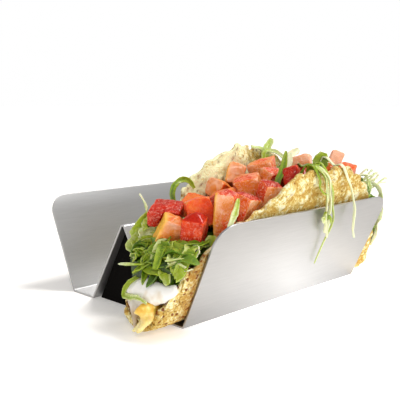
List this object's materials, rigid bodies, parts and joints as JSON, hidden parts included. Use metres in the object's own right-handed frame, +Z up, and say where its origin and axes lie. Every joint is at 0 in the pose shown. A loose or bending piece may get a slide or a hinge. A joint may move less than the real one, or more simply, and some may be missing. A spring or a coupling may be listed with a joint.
{
  "type": "taco",
  "caption": "Filled hard-shell taco with cheese, sour cream, shredded lettuce and diced tomato, standing in a folded steel holder with an empty second slot.",
  "frame": {"origin": "on the underside of the holder, at the middle of the flat floor that carries the taco", "axes": "+X along the taco's fold from the end where the filling spills out to the far end, +Y from the outer plate past the taco to the ridge and the empty slot, +Z up"},
  "size_m": [0.1311, 0.1012, 0.0604],
  "materials": {
    "steel": "satin",
    "tortilla": "fried corn tortilla, blistered, with brown specks",
    "cheese": "soft, slightly greasy",
    "cream": "smooth, moist",
    "lettuce": "crisp leaf, pale ribs",
    "tomato": "wet cut flesh"
  },
  "bodies": {
    "root": {"holder": "steel", "shell": "tortilla", "cheese": "cheese", "sour_cream": "cream", "lettuce": "lettuce", "tomato_01": "tomato", "tomato_02": "tomato", "tomato_03": "tomato", "tomato_04": "tomato", "tomato_05": "tomato", "tomato_06": "tomato", "tomato_07": "tomato", "tomato_08": "tomato", "tomato_09": "tomato", "tomato_10": "tomato", "tomato_11": "tomato", "tomato_12": "tomato", "tomato_13": "tomato", "tomato_14": "tomato", "tomato_15": "tomato", "tomato_16": "tomato", "tomato_17": "tomato", "tomato_18": "tomato", "tomato_19": "tomato", "tomato_20": "tomato", "tomato_21": "tomato", "tomato_22": "tomato"}
  },
  "joints": []
}
